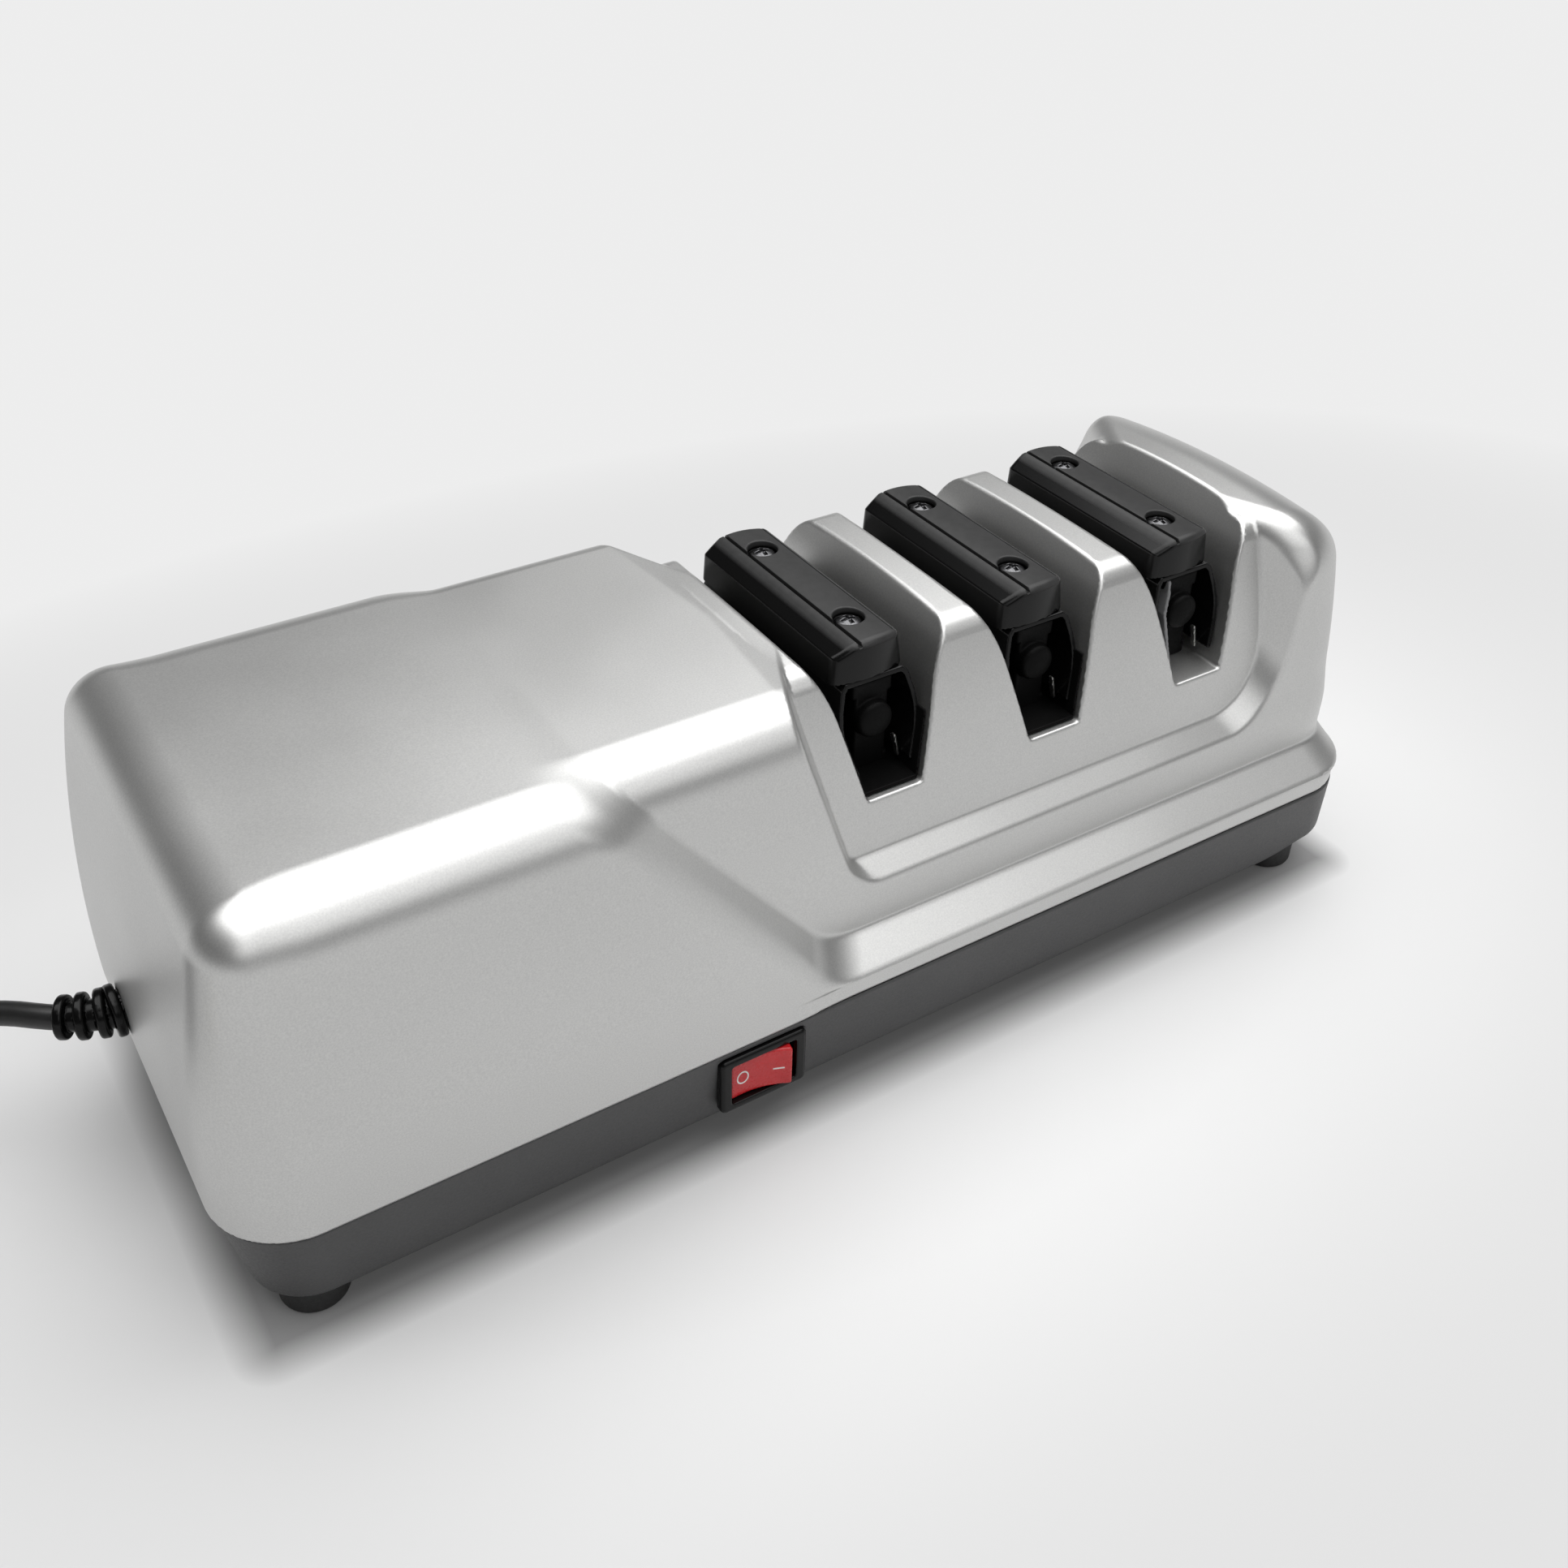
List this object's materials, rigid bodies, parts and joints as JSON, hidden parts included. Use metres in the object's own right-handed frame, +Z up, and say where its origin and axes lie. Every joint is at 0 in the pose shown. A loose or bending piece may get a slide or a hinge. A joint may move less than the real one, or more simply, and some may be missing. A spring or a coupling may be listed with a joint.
{
  "type": "electric knife sharpener",
  "caption": "Bench knife sharpener with a silver body, grey base, slotted grinding stages with black guide bars, a red rocker switch and a mains cord.",
  "frame": {"origin": "on the table, under the middle of the body's footprint, taken without the cord, its coil and its plug", "axes": "+X runs from the cord end to the grinding end, +Y to the back, -Y is the front with the switch, +Z is up"},
  "size_m": [0.4655, 0.1516, 0.1],
  "materials": {
    "silver_paint": "silver metallic lacquer with a fine flake",
    "grey_plastic": "fine-grained dark grey",
    "foot_rubber": "matt black",
    "zinc_steel": "zinc plated",
    "black_plastic": "black, half gloss",
    "frame_metal": "dark die casting",
    "shaft_steel": "ground steel",
    "abrasive_coarse": "coarse abrasive grit on steel",
    "abrasive_fine": "fine abrasive grit on steel",
    "abrasive_polish": "resin-bonded polishing compound",
    "inner_plastic": "glass-filled moulding",
    "bronze": "sintered bearing bronze",
    "lamination": "stacked laminations",
    "copper_wire": "enamelled winding wire",
    "bracket_alloy": "die cast",
    "fan_plastic": "natural nylon",
    "red_plastic": "glossy red",
    "brass_plate": "plated brass",
    "lead_vinyl": "insulated lead",
    "cord_vinyl": "black vinyl"
  },
  "bodies": {
    "base": {"upper_housing": "silver_paint", "base_tray": "grey_plastic", "feet": "foot_rubber", "foot_screws": "zinc_steel", "housing_screws": "zinc_steel", "guide_bar_1": "black_plastic", "guide_bar_2": "black_plastic", "guide_bar_3": "black_plastic", "guide_spring_1": "black_plastic", "guide_spring_2": "black_plastic", "guide_spring_3": "black_plastic", "stage_frame_1": "frame_metal", "stage_frame_2": "frame_metal", "stage_frame_3": "frame_metal", "guide_screws": "zinc_steel", "bearing_block_mid": "inner_plastic", "bearing_block_end": "inner_plastic", "drive_bushes": "bronze", "block_screws": "zinc_steel", "stator_core": "lamination", "winding_upper": "copper_wire", "winding_lower": "copper_wire", "motor_bracket_left": "bracket_alloy", "motor_bracket_right": "bracket_alloy", "motor_bushes": "bronze", "motor_bolts": "zinc_steel", "motor_screws": "zinc_steel", "switch_body": "black_plastic", "switch_terminals": "brass_plate", "inner_leads": "lead_vinyl", "strain_relief": "cord_vinyl", "power_cord": "cord_vinyl", "cord_coil": "cord_vinyl", "cord_tail": "cord_vinyl", "plug_body": "cord_vinyl", "plug_pins": "brass_plate"},
    "drive": {"rotor": "lamination", "motor_shaft": "shaft_steel", "cooling_fan": "fan_plastic", "shaft_coupling": "bronze", "drive_shaft": "shaft_steel", "drive_pins": "shaft_steel", "disk_spring_1": "shaft_steel", "disk_spring_2": "shaft_steel", "disk_spring_3": "shaft_steel"},
    "disk_1_left": {"disk_1_left": "abrasive_coarse"},
    "disk_1_right": {"disk_1_right": "abrasive_coarse"},
    "disk_2_left": {"disk_2_left": "abrasive_fine"},
    "disk_2_right": {"disk_2_right": "abrasive_fine"},
    "disk_3_left": {"disk_3_left": "abrasive_polish"},
    "disk_3_right": {"disk_3_right": "abrasive_polish"},
    "rocker": {"switch_rocker": "red_plastic"}
  },
  "joints": [
    {"name": "shaft_spin", "type": "hinge", "parent": "base", "child": "drive", "pos_m": [0.05, 0, 0.048], "axis": [1, 0, 0], "continuous": true},
    {"name": "disk_1_left_slide", "type": "slide", "parent": "drive", "child": "disk_1_left", "axis": [1, 0, 0], "range_m": [0, 0.0015], "stiffness_N_per_m": 600, "springref_m": -0.004, "deforming": ["disk_spring_1"]},
    {"name": "disk_1_right_slide", "type": "slide", "parent": "drive", "child": "disk_1_right", "axis": [-1, 0, 0], "range_m": [0, 0.0015], "stiffness_N_per_m": 600, "springref_m": -0.004, "deforming": ["disk_spring_1"]},
    {"name": "disk_2_left_slide", "type": "slide", "parent": "drive", "child": "disk_2_left", "axis": [1, 0, 0], "range_m": [0, 0.0015], "stiffness_N_per_m": 600, "springref_m": -0.004, "deforming": ["disk_spring_2"]},
    {"name": "disk_2_right_slide", "type": "slide", "parent": "drive", "child": "disk_2_right", "axis": [-1, 0, 0], "range_m": [0, 0.0015], "stiffness_N_per_m": 600, "springref_m": -0.004, "deforming": ["disk_spring_2"]},
    {"name": "disk_3_left_slide", "type": "slide", "parent": "drive", "child": "disk_3_left", "axis": [1, 0, 0], "range_m": [0, 0.0015], "stiffness_N_per_m": 600, "springref_m": -0.004, "deforming": ["disk_spring_3"]},
    {"name": "disk_3_right_slide", "type": "slide", "parent": "drive", "child": "disk_3_right", "axis": [-1, 0, 0], "range_m": [0, 0.0015], "stiffness_N_per_m": 600, "springref_m": -0.004, "deforming": ["disk_spring_3"]},
    {"name": "rocker_tilt", "type": "hinge", "parent": "base", "child": "rocker", "pos_m": [-0.0347, -0.0489, 0.0186], "axis": [0, 0, 1], "range_deg": [0, 22]}
  ]
}
